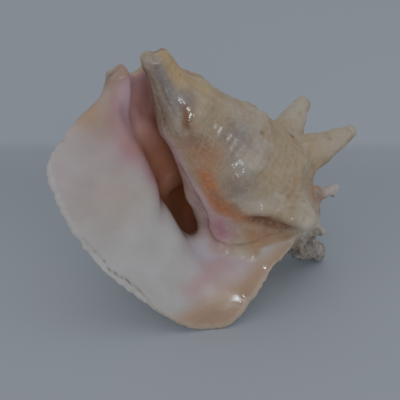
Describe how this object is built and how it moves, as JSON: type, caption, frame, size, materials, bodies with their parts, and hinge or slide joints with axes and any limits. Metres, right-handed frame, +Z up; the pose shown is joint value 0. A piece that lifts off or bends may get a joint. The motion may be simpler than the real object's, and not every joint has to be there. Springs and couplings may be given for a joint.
{
  "type": "conch shell",
  "caption": "Large spined sea shell lying on its side, with a short spire, a wide flared lip and an open throat that runs into the last whorl.",
  "frame": {"origin": "middle of the bounding box, on the surface that the shell lies on", "axes": "+Z up; the aperture and the inner face of the lip look along -Y and slightly up; the lip is on the -X side, the spire on the +X side"},
  "size_m": [0.1888, 0.1506, 0.1745],
  "materials": {
    "shell": "satin"
  },
  "bodies": {
    "root": {"conch_shell": "shell"}
  },
  "joints": []
}
